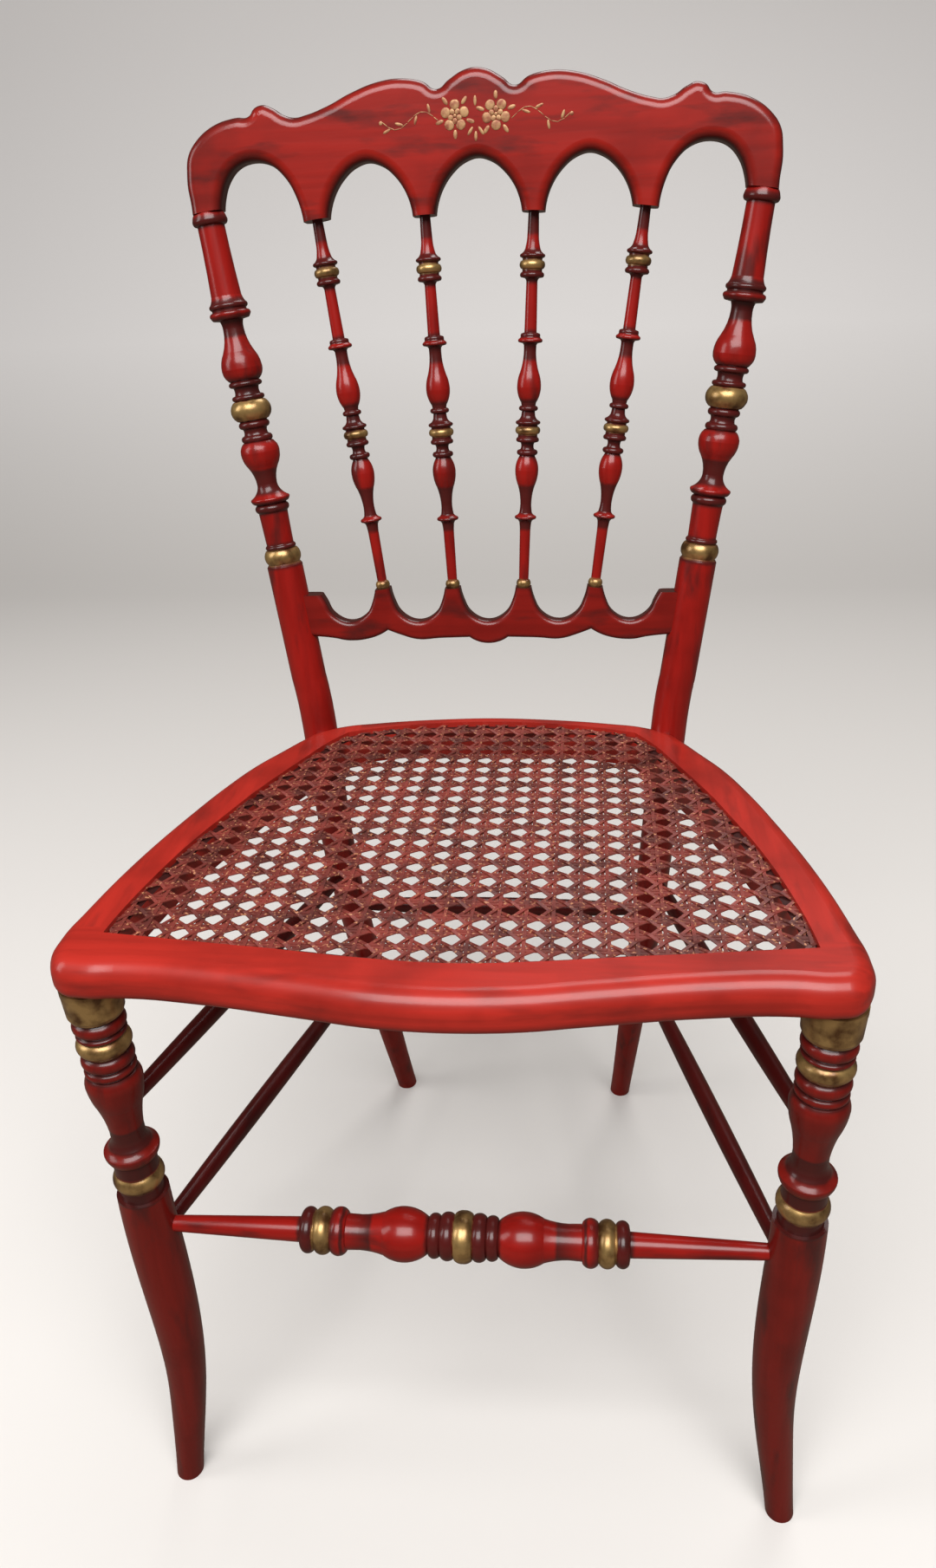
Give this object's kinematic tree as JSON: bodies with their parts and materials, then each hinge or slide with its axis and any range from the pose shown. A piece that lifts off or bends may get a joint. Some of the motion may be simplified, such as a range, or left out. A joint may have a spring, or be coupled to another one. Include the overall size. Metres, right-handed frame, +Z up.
{
  "type": "ballroom side chair",
  "caption": "A red-lacquered ballroom side chair with turned posts and spindles, gilt bands, an arched crest rail, sabre legs and a caned seat.",
  "frame": {"origin": "on the floor, under the middle of the chair's bounding box", "axes": "+Z up the back, -Y the way the sitter faces, +X to the right in a front view of the chair"},
  "size_m": [0.451, 0.4711, 0.8977],
  "materials": {
    "red_lacquer": "glossy red lacquer over turned beech, darkened in the hollows, with gilt bands",
    "painted_cane": "split cane, painted red brown and worn",
    "bare_beech": "plain wood, hidden in the joint"
  },
  "bodies": {
    "root": {"crest_rail": "red_lacquer", "lower_back_rail": "red_lacquer", "rear_post_left": "red_lacquer", "rear_post_right": "red_lacquer", "spindle_outer_left": "red_lacquer", "spindle_inner_left": "red_lacquer", "spindle_inner_right": "red_lacquer", "spindle_outer_right": "red_lacquer", "seat_front_rail": "red_lacquer", "seat_back_rail": "red_lacquer", "seat_side_rail_left": "red_lacquer", "seat_side_rail_right": "red_lacquer", "front_leg_left": "red_lacquer", "front_leg_right": "red_lacquer", "front_stretcher": "red_lacquer", "rear_stretcher": "red_lacquer", "side_stretcher_upper_left": "red_lacquer", "side_stretcher_upper_right": "red_lacquer", "side_stretcher_lower_left": "red_lacquer", "side_stretcher_lower_right": "red_lacquer", "cane_panel": "painted_cane", "post_dowels": "bare_beech"}
  },
  "joints": []
}
